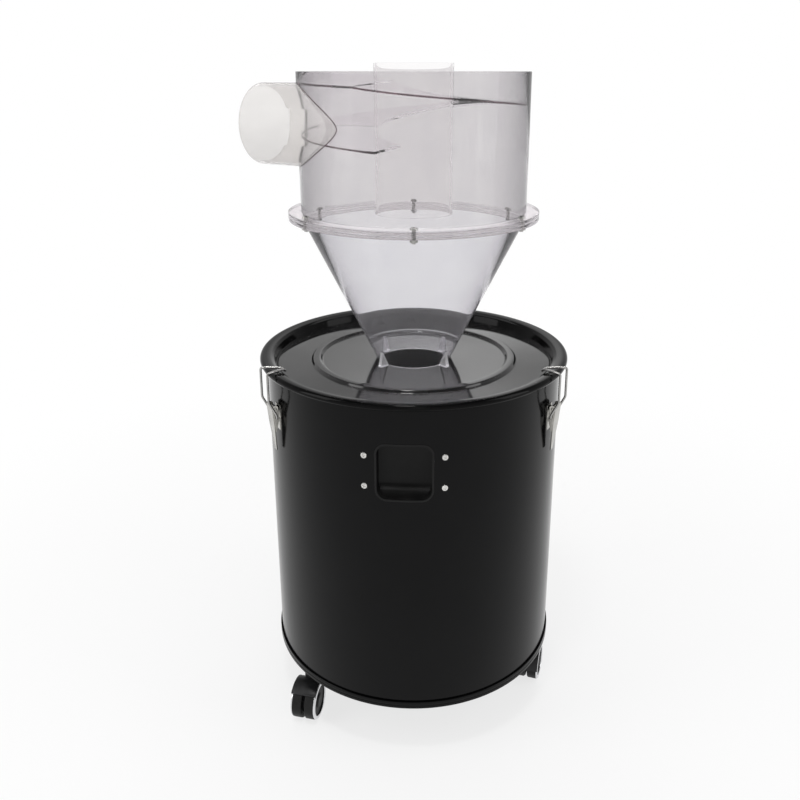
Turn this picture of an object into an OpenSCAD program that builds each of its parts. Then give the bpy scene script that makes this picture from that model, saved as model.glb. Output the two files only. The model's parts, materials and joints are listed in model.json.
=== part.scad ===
// Cyclone dust separator: a clear cyclone head on the lid of a black steel drum.
// The drum stands on three twin-wheel castors, and two wire-bail latches hold the lid.
// Origin: on the drum's axis, at floor level. +Z is up, -Y is the side with the handle.
// Angles round the axis are measured from -Y, positive towards +X.

/* [Overall] */
// Height from the floor to the top of the outlet tube
overall_h = 880; // [860:1:1060]
// Height of the lid's rolled rim above the floor
rim_z = 508.5; // [430:0.5:525]
// Outside diameter of the lid's rolled rim
rim_d = 417; // [350:1:500]
// Height of the drum's lower edge above the floor
drum_bottom_z = 79.5; // [78:0.5:100]

/* [Drum and lid] */
// Sheet thickness of the drum
drum_sheet = 1.5; // [1:0.1:2.5]
// How far the rim stands out from the drum wall
rim_overhang = 10.5; // [9.5:0.1:12]
// Height of the bottom seam ring
chime_h = 10; // [8:0.5:14]
// Sheet thickness of the lid
lid_sheet = 1.2; // [0.8:0.1:2]
// Depth of the lid's pan below the top of its rim
pan_depth = 13.5; // [12:0.5:16]
// Outside diameter of the pressed bead round the cone
bead_d = 280; // [230:1:300]
// Height of the pressed bead
bead_h = 4; // [2:0.5:5]

/* [Cyclone] */
// Outside diameter of the clear cylinder
cyl_d = 292; // [245:1:330]
// Wall thickness of the clear sheet
clear_wall = 3; // [2:0.5:4]
// Outside diameter of the inlet and outlet tubes
tube_d = 100; // [84:1:118]
// Height of the cone, from the lid to the flange
cone_h = 194; // [165:1:200]
// Outside diameter of the bolted flange
flange_d = 324.6; // [312:0.2:345]
// Thickness of each flange ring
flange_t = 5; // [4:0.5:6]
// How far the outlet tube stands above the cylinder
tube_proud = 10; // [5:1:30]
// Steady drop of the spiral roof over one turn
ramp_drop = 64; // [52:1:68]
// Height of the inlet's axis below the top of the cylinder
inlet_drop = 63; // [58:1:70]
// Distance of the inlet's mouth from its tangent point
inlet_reach = 162; // [155:1:195]

/* [Handle] */
// Width of the finger pocket
pocket_w = 66; // [55:1:80]
// Height of the finger pocket
pocket_h = 70; // [58:1:84]
// Depth of the finger pocket
pocket_depth = 30; // [24:1:36]
// Width between the handle's screws
handle_screw_w = 96; // [90:1:104]
// Height between the handle's screws
handle_screw_h = 40; // [34:1:48]

/* [Latches] */
// Angle of the latches either side of the handle side
latch_az = 61; // [52:1:68]
// Wire diameter of the bail
wire_d = 3; // [2.6:0.1:3.4]
// Width of the lever at its top
lever_w = 20; // [18:0.5:24]

/* [Castors] */
// Wheel diameter
wheel_d = 51; // [42:1:54]
// Width of one wheel
wheel_w = 16; // [13:0.1:20]
// Distance of a castor's stem from the drum's axis
castor_r = 176; // [146:1:184]
// Horizontal distance from the stem to the wheels' axle
castor_trail = 20; // [16:1:24]

/* [Hidden] */
$fn = 96;

// Colours
BLACK_PAINT = [0.03, 0.03, 0.035];
BLACK_PLASTIC = [0.06, 0.06, 0.065];
CLEAR = [0.86, 0.85, 0.9, 0.35];
STEEL = [0.72, 0.72, 0.73];
RUBBER = [0.1, 0.1, 0.1];

// Drum and lid
drum_r = rim_d / 2 - rim_overhang;
drum_ri = drum_r - drum_sheet;
chime_t = 2.3;
floor_z = drum_bottom_z + 4.5;
pan_z = rim_z - pan_depth;
rim_roll_r = 3.5;
rim_roll_z = rim_z - rim_roll_r;
shelf_z = rim_roll_z;
rim_roll_at = rim_d / 2 - rim_roll_r;
shelf_ri = rim_roll_at - 15;
pan_r = shelf_ri - 3;
curl_r = 2.5;
curl_z = shelf_z - lid_sheet - curl_r;
curl_at = drum_r - 0.5;

// Cyclone
cyl_r = cyl_d / 2;
cyl_ri = cyl_r - clear_wall;
tube_r = tube_d / 2;
tube_ri = tube_r - clear_wall;
cone_top_r = cyl_r - 1;
flange_z = pan_z + cone_h;
flange_r = flange_d / 2;
flange_top = flange_z + 2 * flange_t;
cyl_top = overall_h - tube_proud;
bolt_count = 6;
bolt_d = 5;
bolt_r = (cyl_r + flange_r) / 2 - 1.5;
gusset_h = 19;
gusset_reach = 13.5;
gusset_t = 5;

// Spiral roof and inlet
ramp_t = 3;
ramp_gap = 0.3;
roof_start_az = -105;
ramp_start_az = -30;
ramp_end_az = 342;
roof_dip = 2.2;
roof_tilt = 4.6;
ramp_sag = 4.3;
ramp_sag_turn = 25;
inlet_az = -30;
inlet_z = cyl_top - inlet_drop;
inlet_inset = tube_r + 1;
roof_z = inlet_z + tube_ri;
opening_start = 24;
ramp_steps = 93;

// Handle
handle_az = -3.3;
handle_z = drum_bottom_z + 338;
handle_t = 2.5;
handle_w = handle_screw_w + 24;
handle_h = pocket_h + 16;
pocket_t = 2.5;
window_w = pocket_w + 2 * pocket_t;
window_h = pocket_h + 2 * pocket_t;
pocket_r = 12;
pocket_top_r = 7;
scoop_r = 26;
lip_h = 1.2;
seat_gap = 0.05;
screw_d = 8;
screw_h = 2.2;

// Latches: places along the radius and the height of each pivot
latch_t = 1.5;
pin_d = 3;
pin_fit = 0.05;
lever_pin_r = drum_r + 8;
lever_pin_z = rim_z - 46.5;
bail_arm = 13;
bail_pin_r = lever_pin_r - 0.9;
bail_pin_z = lever_pin_z - bail_arm;
lever_in_w = lever_w - 2 * latch_t;
ear_out_w = lever_in_w - 1;
lever_face_r = lever_pin_r + 3.4;
lever_top_z = lever_pin_z + 3.8;
lever_len = 64;
lever_lean = 5.5;
bail_half_w = lever_w / 2 + wire_d / 2 + 1;
bail_leg_r = rim_d / 2 + 6.5;

// Castors
wheel_r = wheel_d / 2;
wheel_gap = 3.6;
web_clear = 0.6;
dish_r = wheel_r - 7.5;
dish_depth = 3;
axle_d = 8;
hood_clear = 1.2;
hood_t = 1.8;
hood_w = 2 * wheel_w + wheel_gap;
boss_d = 21;
stem_d = 10;
housing_top_z = drum_bottom_z - 6;
castor_az = [-55, 71, 188];
castor_turn = [167, -18, 230];

// ---- helpers ----------------------------------------------------------------

// Places children at an angle round the axis, with +Y outwards
module around(az) {
    rotate([0, 0, az + 180])
        children();
}

// A flat ring
module ring(r_out, r_in, z, h) {
    translate([0, 0, z])
        difference() {
            cylinder(r = r_out, h = h);
            translate([0, 0, -1])
                cylinder(r = r_in, h = h + 2);
        }
}

// A rectangle with round corners, made of squares and circles
module round_rect(w, h, r) {
    square([w - 2 * r, h], center = true);
    square([w, h - 2 * r], center = true);
    for (x = [-1, 1], y = [-1, 1])
        translate([x * (w / 2 - r), y * (h / 2 - r)])
            circle(r = r, $fn = 32);
}

// A vector's direction
function unit(v) = v / norm(v);

// Points along a round corner at p, between the lines to a and to b
function corner(a, p, b, r, n) =
    let (s = p + r * unit(a - p), e = p + r * unit(b - p))
    [for (i = [0 : n]) let (t = i / n) (1 - t) * (1 - t) * s + 2 * t * (1 - t) * p + t * t * e];

// A path through the points with its corners rounded
function rounded(points, r, n) = [
    points[0],
    for (i = [1 : len(points) - 2]) each corner(points[i - 1], points[i], points[i + 1], r, n),
    points[len(points) - 1]
];

// A round wire swept along a path that is never parallel to ref
module swept_wire(path, d, ref, sides) {
    last = len(path) - 1;
    points = [for (i = [0 : last])
        let (t = unit(path[min(i + 1, last)] - path[max(i - 1, 0)]), u = unit(cross(ref, t)), v = cross(t, u))
        for (k = [0 : sides - 1])
            path[i] + d / 2 * (cos(360 * k / sides) * u + sin(360 * k / sides) * v)];
    end = last * sides;
    faces = concat(
        [for (k = [1 : sides - 2]) [0, k, k + 1]],
        [for (k = [1 : sides - 2]) [end, end + k + 1, end + k]],
        [for (i = [0 : last - 1], k = [0 : sides - 1]) let (b = sides * i, n = (k + 1) % sides)
            each [[b + k, b + sides + k, b + sides + n], [b + k, b + sides + n, b + n]]]
    );
    polyhedron(points, faces, convexity = 8);
}

// ---- drum -------------------------------------------------------------------

// The rolled wall with its top curl, and the window behind the handle
module drum_wall() {
    color(BLACK_PAINT)
        difference() {
            union() {
                ring(drum_r, drum_ri, drum_bottom_z, curl_z - drum_bottom_z);
                rotate_extrude()
                    translate([curl_at, curl_z])
                        circle(r = curl_r, $fn = 24);
            }
            around(handle_az)
                translate([0, drum_ri - 20, handle_z])
                    rotate([-90, 0, 0])
                        linear_extrude(40)
                            round_rect(window_w, window_h, pocket_r + pocket_t);
        }
}

// The floor, raised a little above the drum's lower edge
module drum_floor() {
    color(BLACK_PAINT)
        translate([0, 0, floor_z])
            cylinder(r = drum_ri, h = drum_sheet);
}

// The seam ring round the foot of the wall
module drum_chime() {
    color(BLACK_PAINT)
        translate([0, 0, drum_bottom_z])
            rotate_extrude()
                difference() {
                    union() {
                        translate([drum_r, 1])
                            square([chime_t, chime_h - 2]);
                        translate([drum_r, 0])
                            square([chime_t - 1, chime_h]);
                        for (z = [1, chime_h - 1])
                            translate([drum_r + chime_t - 1, z])
                                circle(r = 1, $fn = 24);
                    }
                    translate([drum_r - 5, -1])
                        square([5, chime_h + 2]);
                }
}

// The pressed lid: pan, bead, step, shelf and rolled rim
module lid() {
    bead_r = bead_d / 2;
    bead_ri = bead_r - 15;
    top = [
        [tube_ri, pan_z],
        [bead_ri, pan_z], [bead_ri + 4, pan_z + bead_h], [bead_r - 4, pan_z + bead_h], [bead_r, pan_z],
        [pan_r, pan_z], [shelf_ri, shelf_z], [rim_roll_at, shelf_z]
    ];
    bottom = [for (i = [len(top) - 1 : -1 : 0]) [top[i][0], top[i][1] - lid_sheet]];
    color(BLACK_PAINT) {
        rotate_extrude()
            polygon(concat(top, bottom));
        rotate_extrude()
            translate([rim_roll_at, rim_roll_z])
                circle(r = rim_roll_r, $fn = 32);
    }
}

// ---- handle -----------------------------------------------------------------

// Side view of the pocket: deep at the top, with a scooped floor; the wall grows it outwards
module pocket_side(grow) {
    half = pocket_h / 2 + grow;
    back = drum_r - pocket_depth + pocket_t - grow;
    mouth = drum_r + 10;
    polygon(concat(
        [[mouth, half], [mouth, -half]],
        corner([drum_r, -half], [back, -half], [back, half], scoop_r + grow, 8),
        corner([back, -half], [back, half], [drum_r, half], pocket_top_r + grow, 4)
    ));
}

// The pocket as a solid, with its front outline and its side view
module pocket_block(grow) {
    around(handle_az)
        translate([0, 0, handle_z])
            intersection() {
                translate([0, drum_r - pocket_depth - 1, 0])
                    rotate([-90, 0, 0])
                        linear_extrude(pocket_depth + 12)
                            round_rect(pocket_w + 2 * grow, pocket_h + 2 * grow, pocket_r + grow);
                translate([-pocket_w, 0, 0])
                    rotate([90, 0, 90])
                        linear_extrude(2 * pocket_w)
                            pocket_side(grow);
            }
}

// The recessed pull: a flange inside the wall and a scooped pocket in the window
module handle_shell() {
    color(BLACK_PLASTIC)
        difference() {
            union() {
                intersection() {
                    ring(drum_ri - seat_gap, drum_ri - handle_t, handle_z - handle_h, 2 * handle_h);
                    around(handle_az)
                        translate([0, 0, handle_z])
                            rotate([-90, 0, 0])
                                linear_extrude(drum_r)
                                    round_rect(handle_w, handle_h, 10);
                }
                intersection() {
                    translate([0, 0, handle_z - handle_h])
                        cylinder(r = drum_r + lip_h, h = 2 * handle_h);
                    pocket_block(pocket_t);
                }
            }
            pocket_block(0);
        }
}

// The four screws of the handle
module handle_screws() {
    turn = asin(handle_screw_w / 2 / drum_r);
    color(STEEL)
        for (s = [-1, 1], h = [-1, 1])
            around(handle_az + s * turn)
                translate([0, drum_r, handle_z + h * handle_screw_h / 2])
                    rotate([-90, 0, 0])
                        cylinder(d1 = screw_d, d2 = screw_d - 3, h = screw_h, $fn = 32);
}

// ---- cyclone ----------------------------------------------------------------

// The clear cone, open at both ends
module cone() {
    color(CLEAR)
        rotate_extrude()
            polygon([
                [tube_ri, pan_z], [tube_r, pan_z],
                [cone_top_r, flange_z], [cone_top_r - clear_wall, flange_z]
            ]);
}

// Four small triangular gussets between the cone and the lid
module cone_gussets() {
    slope = (cone_top_r - tube_r) / cone_h;
    color(CLEAR)
        difference() {
            for (az = [45 : 90 : 315])
                around(az)
                    translate([-gusset_t / 2, 0, pan_z])
                        rotate([90, 0, 90])
                            linear_extrude(gusset_t)
                                polygon([
                                    [tube_r - 1, 0], [tube_r + gusset_reach, 0],
                                    [tube_r + slope * gusset_h + 0.6, gusset_h], [tube_r - 1, gusset_h]
                                ]);
            rotate_extrude()
                polygon([
                    [0, pan_z - 1], [tube_r - slope, pan_z - 1],
                    [cone_top_r, flange_z], [0, flange_z]
                ]);
        }
}

// One flange ring with its bolt holes
module flange_ring(z) {
    color(CLEAR)
        difference() {
            ring(flange_r, cyl_ri - 1, z, flange_t);
            for (i = [0 : bolt_count - 1])
                around(i * 360 / bolt_count)
                    translate([0, bolt_r, z - 1])
                        cylinder(d = bolt_d + 0.4, h = flange_t + 2, $fn = 24);
        }
}

module lower_flange() {
    flange_ring(flange_z);
}

module upper_flange() {
    flange_ring(flange_z + flange_t);
}

// Six pan-head bolts through both rings
module flange_bolts() {
    shank = 2 * flange_t + 6;
    color(STEEL)
        for (i = [0 : bolt_count - 1])
            around(i * 360 / bolt_count)
                translate([0, bolt_r, 0]) {
                    translate([0, 0, flange_top - shank])
                        cylinder(d = bolt_d, h = shank, $fn = 24);
                    translate([0, 0, flange_top])
                        cylinder(d1 = 9, d2 = 6.5, h = 3.2, $fn = 32);
                }
}

// The nuts under the flange
module flange_nuts() {
    color(STEEL)
        for (i = [0 : bolt_count - 1])
            around(i * 360 / bolt_count)
                translate([0, bolt_r, flange_z - 4])
                    difference() {
                        cylinder(d = 9.2, h = 4, $fn = 6);
                        translate([0, 0, -1])
                            cylinder(d = bolt_d, h = 6, $fn = 24);
                    }
}

// The inlet's axis: children are drawn along +Z, from the tangent point outwards
module along_inlet(from) {
    rotate([0, 0, inlet_az])
        translate([0, -(cyl_r - inlet_inset), inlet_z])
            rotate([0, -90, 0])
                translate([0, 0, from])
                    children();
}

// The clear cylinder, open at the top, with the inlet's opening cut through it
module cyclone_wall() {
    color(CLEAR)
        difference() {
            ring(cyl_r, cyl_ri, flange_top, cyl_top - flange_top);
            along_inlet(opening_start)
                cylinder(r = tube_ri, h = inlet_reach);
        }
}

// The inlet tube, set at a tangent to the cylinder
module inlet_tube() {
    color(CLEAR)
        difference() {
            along_inlet(0)
                cylinder(r = tube_r, h = inlet_reach);
            along_inlet(-1)
                cylinder(r = tube_ri, h = inlet_reach + 2);
            translate([0, 0, inlet_z - tube_d])
                cylinder(r = cyl_r, h = 2 * tube_d);
        }
}

// The outlet tube down the middle of the cyclone
module outlet_tube() {
    color(CLEAR)
        ring(tube_r, tube_ri, flange_top, overall_h - flange_top);
}

// Underside height of the roof at an angle: nearly level first, then a dip and a steady fall
function roof_at(az) =
    let (turn = az - ramp_start_az, start_z = roof_z - roof_dip)
    turn <= 0
        ? start_z + roof_tilt * turn / (roof_start_az - ramp_start_az)
        : start_z - ramp_drop * turn / 360 - ramp_sag * (1 - exp(-turn / ramp_sag_turn));

// The roof of the spin chamber: a nearly level part over the inlet, then one turn of spiral
module spiral_roof() {
    r_in = tube_r + ramp_gap;
    r_out = cyl_ri - ramp_gap;
    span = (ramp_end_az - roof_start_az) / ramp_steps;
    angles = [for (i = [0 : ramp_steps]) roof_start_az + i * span];
    points = [for (a = angles) let (z = roof_at(a))
        each [
            [r_in * sin(a), -r_in * cos(a), z], [r_out * sin(a), -r_out * cos(a), z],
            [r_out * sin(a), -r_out * cos(a), z + ramp_t], [r_in * sin(a), -r_in * cos(a), z + ramp_t]
        ]];
    last = 4 * ramp_steps;
    faces = concat(
        [[0, 1, 2], [0, 2, 3], [last + 2, last + 1, last], [last + 3, last + 2, last]],
        [for (i = [0 : ramp_steps - 1], k = [0 : 3]) let (b = 4 * i, n = (k + 1) % 4)
            each [[b + k, b + 4 + k, b + 4 + n], [b + k, b + 4 + n, b + n]]]
    );
    color(CLEAR)
        polyhedron(points, faces, convexity = 6);
}

// The upright plate that closes the chamber where the roof begins
module roof_end_plate() {
    inset = 0.5;
    low_z = roof_at(roof_start_az + 360) + ramp_t;
    high_z = roof_at(roof_start_az + atan((ramp_t + inset) / tube_r));
    color(CLEAR)
        around(roof_start_az)
            translate([-ramp_t - inset, tube_r + ramp_gap, low_z])
                cube([ramp_t, cyl_ri - tube_r - 1, high_z - low_z]);
}

// ---- latches ----------------------------------------------------------------

// A wall plate with two ears and the lever's pin
module latch_base(az) {
    plate_h = 34;
    plate_z = lever_pin_z - 32;
    ear_r = 2.9;
    color(STEEL)
        around(az) {
            intersection() {
                ring(drum_r + latch_t, drum_r, plate_z, plate_h);
                translate([-ear_out_w / 2, 0, plate_z])
                    cube([ear_out_w, drum_r + 20, plate_h]);
            }
            for (s = [-1, 1])
                translate([s * (ear_out_w / 2 - latch_t / 2), 0, lever_pin_z])
                    rotate([90, 0, 90])
                        linear_extrude(latch_t, center = true) {
                            translate([lever_pin_r, 0])
                                circle(r = ear_r, $fn = 32);
                            polygon([
                                [lever_pin_r - 2, 2], [drum_r + 0.5, -5],
                                [drum_r + 0.5, -16], [lever_pin_r + 2, -2]
                            ]);
                        }
            translate([0, lever_pin_r, lever_pin_z])
                rotate([0, 90, 0])
                    cylinder(d = pin_d, h = lever_w + 1.6, center = true, $fn = 24);
        }
}

// Inner side of the lever's leaning face at a height
function face_at(z) = lever_face_r - (lever_top_z - z) * tan(lever_lean);

// The tapered lever: a channel that pivots on the pin and carries the bail
module latch_lever(az) {
    shoulder = 26;
    tip_w = 7;
    cheek_low = bail_pin_z - 6;
    cheek_end = cheek_low - 12;
    color(STEEL)
        around(az)
            difference() {
                union() {
                    // tapered face
                    translate([0, lever_face_r, lever_top_z])
                        rotate([-90 - lever_lean, 0, 0])
                            linear_extrude(latch_t)
                                polygon([
                                    [-lever_w / 2, 0], [lever_w / 2, 0], [lever_w / 2, shoulder],
                                    [tip_w / 2, lever_len], [-tip_w / 2, lever_len], [-lever_w / 2, shoulder]
                                ]);
                    // cheeks
                    for (s = [-1, 1])
                        translate([s * (lever_w / 2 - latch_t / 2), 0, 0])
                            rotate([90, 0, 90])
                                linear_extrude(latch_t, center = true)
                                    polygon([
                                        [lever_face_r + latch_t / 2, lever_top_z],
                                        [face_at(cheek_end) + latch_t / 2, cheek_end],
                                        [face_at(cheek_end) - 1, cheek_end],
                                        [bail_pin_r - 3.2, cheek_low + 3],
                                        [bail_pin_r - 3.2, bail_pin_z + 4],
                                        [lever_pin_r - 3.5, lever_pin_z - 3],
                                        [lever_pin_r - 3.5, lever_pin_z + 2],
                                        [lever_pin_r - 1.5, lever_top_z]
                                    ]);
                }
                translate([0, lever_pin_r, lever_pin_z])
                    rotate([0, 90, 0])
                        cylinder(d = pin_d + 2 * pin_fit, h = lever_w + 2, center = true, $fn = 24);
                translate([0, bail_pin_r, bail_pin_z])
                    rotate([0, 90, 0])
                        cylinder(d = wire_d + 2 * pin_fit, h = lever_w + 2, center = true, $fn = 24);
            }
}

// The wire bail: two legs that rise over the rim and meet in a nose behind it
module latch_bail(az) {
    over_z = rim_z + 1.5 + wire_d / 2;
    leg = [
        [bail_half_w, bail_pin_r, bail_pin_z - wire_d / 2 + 0.1],
        [bail_half_w, bail_pin_r, bail_pin_z + 5],
        [bail_half_w, bail_leg_r, bail_pin_z + 24],
        [bail_half_w, bail_leg_r, over_z],
        [bail_half_w - 2, bail_leg_r - 8, over_z + 0.5],
        [3, shelf_ri + 0.5, over_z - 1]
    ];
    nose = [0, shelf_ri - 4, shelf_z + 1.4];
    far_leg = [for (i = [len(leg) - 1 : -1 : 0]) [-leg[i][0], leg[i][1], leg[i][2]]];
    pin_len = bail_half_w - lever_w / 2 + latch_t + 0.4;
    color(STEEL)
        around(az) {
            swept_wire(rounded(concat(leg, [nose], far_leg), 2.5, 4), wire_d, [0, 1, 1], 12);
            for (s = [-1, 1])
                translate([s * (bail_half_w - pin_len / 2), bail_pin_r, bail_pin_z])
                    rotate([0, 90, 0])
                        cylinder(d = wire_d, h = pin_len, center = true, $fn = 24);
        }
}

module latch_left_base() {
    latch_base(-latch_az);
}

module latch_left_lever() {
    latch_lever(-latch_az);
}

module latch_left_bail() {
    latch_bail(-latch_az);
}

module latch_right_base() {
    latch_base(latch_az);
}

module latch_right_lever() {
    latch_lever(latch_az);
}

module latch_right_bail() {
    latch_bail(latch_az);
}

// ---- castors ----------------------------------------------------------------

// Places children in a castor's own frame: stem on Z, wheels behind along +Y
module at_castor(i) {
    az = castor_az[i];
    translate([castor_r * sin(az), -castor_r * cos(az), 0])
        rotate([0, 0, castor_turn[i]])
            children();
}

// The stem with its collar against the drum's floor
module castor_stem(i) {
    color(STEEL)
        at_castor(i) {
            translate([0, 0, housing_top_z - 22])
                cylinder(d = stem_d, h = floor_z - housing_top_z + 22, $fn = 48);
            translate([0, 0, housing_top_z + 0.5])
                cylinder(d = 24, h = floor_z - housing_top_z - 0.5, $fn = 48);
        }
}

// Places children on a castor's axle, with +Z along it
module on_axle() {
    translate([0, castor_trail, wheel_r])
        rotate([0, 90, 0])
            children();
}

// The housing: a boss on the stem, a hood close over the wheels, a web between them and the axle
module castor_housing(i) {
    hood_r = wheel_r + hood_clear + hood_t;
    web_w = wheel_gap - 2 * web_clear;
    hub_w = wheel_gap + 2 * dish_depth - 4 * web_clear;
    color(BLACK_PLASTIC)
        at_castor(i)
            difference() {
                union() {
                    difference() {
                        union() {
                            translate([0, 0, 1.5 * wheel_r])
                                cylinder(d = boss_d, h = housing_top_z - 1.5 * wheel_r, $fn = 48);
                            intersection() {
                                on_axle()
                                    cylinder(r = hood_r, h = hood_w, center = true);
                                translate([-hood_w, -hood_r, wheel_r + 2])
                                    cube([2 * hood_w, hood_r + castor_trail + 18, hood_r]);
                            }
                        }
                        on_axle()
                            cylinder(r = wheel_r + hood_clear, h = hood_w + 2, center = true);
                    }
                    intersection() {
                        on_axle()
                            cylinder(r = hood_r - 0.5, h = web_w, center = true);
                        translate([-web_w, -hood_r, wheel_r - 8])
                            cube([2 * web_w, hood_r + castor_trail + 12, 2 * hood_r]);
                    }
                    on_axle()
                        cylinder(r = dish_r - 1.5, h = hub_w, center = true);
                    on_axle()
                        cylinder(d = axle_d, h = hood_w - 4, center = true, $fn = 48);
                }
                translate([0, 0, housing_top_z - 22 - 1])
                    cylinder(d = stem_d + 2 * pin_fit, h = 30, $fn = 48);
            }
}

// One wheel: a tread with a round shoulder, an inner dish for the hub and a recessed outer face
module castor_wheel(i, side) {
    shoulder = 3;
    color(RUBBER)
        at_castor(i)
            translate([side * (wheel_gap / 2), castor_trail, wheel_r])
                rotate([0, side * 90, 0])
                    rotate_extrude()
                        difference() {
                            union() {
                                square([wheel_r - shoulder, wheel_w]);
                                square([wheel_r, wheel_w - shoulder]);
                                translate([wheel_r - shoulder, wheel_w - shoulder])
                                    circle(r = shoulder, $fn = 32);
                            }
                            translate([-1, -1])
                                square([1 + axle_d / 2 + pin_fit, wheel_w + 2]);
                            translate([-1, -1])
                                square([1 + dish_r, 1 + dish_depth]);
                            translate([axle_d / 2 + 4, wheel_w - 2])
                                square([wheel_r - axle_d / 2 - 9, 3]);
                            translate([-10, -10])
                                square([10, wheel_w + 20]);
                        }
}

module castor_left_stem() {
    castor_stem(0);
}

module castor_left_housing() {
    castor_housing(0);
}

module castor_left_inner_wheel() {
    castor_wheel(0, -1);
}

module castor_left_outer_wheel() {
    castor_wheel(0, 1);
}

module castor_right_stem() {
    castor_stem(1);
}

module castor_right_housing() {
    castor_housing(1);
}

module castor_right_inner_wheel() {
    castor_wheel(1, -1);
}

module castor_right_outer_wheel() {
    castor_wheel(1, 1);
}

module castor_back_stem() {
    castor_stem(2);
}

module castor_back_housing() {
    castor_housing(2);
}

module castor_back_inner_wheel() {
    castor_wheel(2, 1);
}

module castor_back_outer_wheel() {
    castor_wheel(2, -1);
}

drum_wall();
drum_floor();
drum_chime();
lid();
handle_shell();
handle_screws();
cone();
cone_gussets();
lower_flange();
upper_flange();
flange_bolts();
flange_nuts();
cyclone_wall();
spiral_roof();
roof_end_plate();
outlet_tube();
inlet_tube();
latch_left_base();
latch_left_lever();
latch_left_bail();
latch_right_base();
latch_right_lever();
latch_right_bail();
castor_left_stem();
castor_left_housing();
castor_left_inner_wheel();
castor_left_outer_wheel();
castor_right_stem();
castor_right_housing();
castor_right_inner_wheel();
castor_right_outer_wheel();
castor_back_stem();
castor_back_housing();
castor_back_inner_wheel();
castor_back_outer_wheel();
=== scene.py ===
"""Looks of the cyclone dust separator: shapes, finishes, lamps and camera round its frame."""

from __future__ import annotations

import json
import logging
import math
from collections.abc import Callable, Iterator, Sequence
from contextlib import contextmanager
from dataclasses import dataclass
from enum import Enum
from functools import cache

import bmesh
import bpy
from mathutils import Matrix, Vector

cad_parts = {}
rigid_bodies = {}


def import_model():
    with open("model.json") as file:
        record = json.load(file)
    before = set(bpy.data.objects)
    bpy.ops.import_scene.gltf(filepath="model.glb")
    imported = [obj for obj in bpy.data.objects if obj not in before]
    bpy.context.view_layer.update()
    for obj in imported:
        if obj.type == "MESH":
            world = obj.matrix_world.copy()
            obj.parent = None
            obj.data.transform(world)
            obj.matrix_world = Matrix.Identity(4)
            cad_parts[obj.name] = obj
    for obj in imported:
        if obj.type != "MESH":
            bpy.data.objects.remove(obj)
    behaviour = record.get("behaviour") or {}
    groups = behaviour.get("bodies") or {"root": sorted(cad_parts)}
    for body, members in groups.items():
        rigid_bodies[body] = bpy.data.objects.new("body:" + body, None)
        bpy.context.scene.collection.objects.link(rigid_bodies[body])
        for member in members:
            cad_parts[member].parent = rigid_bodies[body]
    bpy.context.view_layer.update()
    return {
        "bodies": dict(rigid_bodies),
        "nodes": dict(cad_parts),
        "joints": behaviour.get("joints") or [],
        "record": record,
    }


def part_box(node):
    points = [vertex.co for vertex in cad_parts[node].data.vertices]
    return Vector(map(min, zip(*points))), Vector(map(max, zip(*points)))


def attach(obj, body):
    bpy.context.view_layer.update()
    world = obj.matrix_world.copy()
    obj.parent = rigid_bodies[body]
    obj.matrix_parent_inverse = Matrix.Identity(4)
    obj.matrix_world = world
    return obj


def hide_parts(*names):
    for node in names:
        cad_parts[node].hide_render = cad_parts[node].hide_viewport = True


LOG = logging.getLogger("separator")
MM = 0.001
HOUSING = "housing"
CORE_R = 0.01
UP = Vector((0, 0, 1))

Point = tuple[float, float, float]
Colour = tuple[float, float, float]
Outline = list[tuple[float, float]]
Piece = bpy.types.Object
Node = bpy.types.Node
Socket = bpy.types.NodeSocket
Tree = bpy.types.NodeTree

DUST_GREY: Colour = (0.5, 0.49, 0.47)
BARE_GREY: Colour = (0.35, 0.35, 0.36)
GRAIN_DEPTH = 0.0004
DUST_ROUGHNESS = 0.4


class Slot(Enum):
    """The material slots of the record."""

    PAINT = "black_paint"
    PLASTIC = "black_plastic"
    CLEAR = "clear_plastic"
    STEEL = "bright_steel"
    RUBBER = "black_rubber"


class Side(Enum):
    """The places round the drum that latches and castors take."""

    LEFT = "left"
    RIGHT = "right"
    BACK = "back"


def around(azimuth: float, radius: float, height: float, across: float = 0.0) -> Vector:
    """A point from its place round the drum.

    Args:
        azimuth: degrees from the handle's side, growing towards +X.
        radius: distance from the axis.
        height: height above the floor.
        across: distance sideways from the radius.

    Returns:
        The point.
    """
    a = math.radians(azimuth)
    out = Vector((math.sin(a), -math.cos(a), 0))
    side = Vector((-math.cos(a), -math.sin(a), 0))
    return out * radius + side * across + Vector((0, 0, height))


def extent(box: tuple[Vector, Vector]) -> tuple[float, float, float]:
    """A frame box's lowest height, highest height and reach along +X, in millimetres."""
    return box[0].z / MM, box[1].z / MM, box[1].x / MM


def corner(before: Vector, here: Vector, after: Vector, radius: float, steps: int) -> list[Vector]:
    """The points of a rounded corner.

    Args:
        before: the corner before it.
        here: the corner itself.
        after: the corner after it.
        radius: most that it is cut back along each side.
        steps: segments in it.

    Returns:
        The points in order.
    """
    reach = min(radius, (before - here).length * 0.45, (after - here).length * 0.45)
    start = here + (before - here).normalized() * reach
    end = here + (after - here).normalized() * reach
    return [start * (1 - t) ** 2 + here * 2 * t * (1 - t) + end * t ** 2
            for t in (k / steps for k in range(steps + 1))]


def softened(outline: Outline, radius: float, steps: int = 3) -> Outline:
    """A closed outline with its corners rounded.

    Args:
        outline: corners in order.
        radius: most that a corner is cut back along each side.
        steps: segments in a corner.

    Returns:
        The rounded outline.
    """
    corners = [Vector(c) for c in outline]
    result: Outline = []
    for before, here, after in zip(corners[-1:] + corners, corners, corners[1:] + corners[:1]):
        result += [(p.x, p.y) for p in corner(before, here, after, radius, steps)]
    return result


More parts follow.
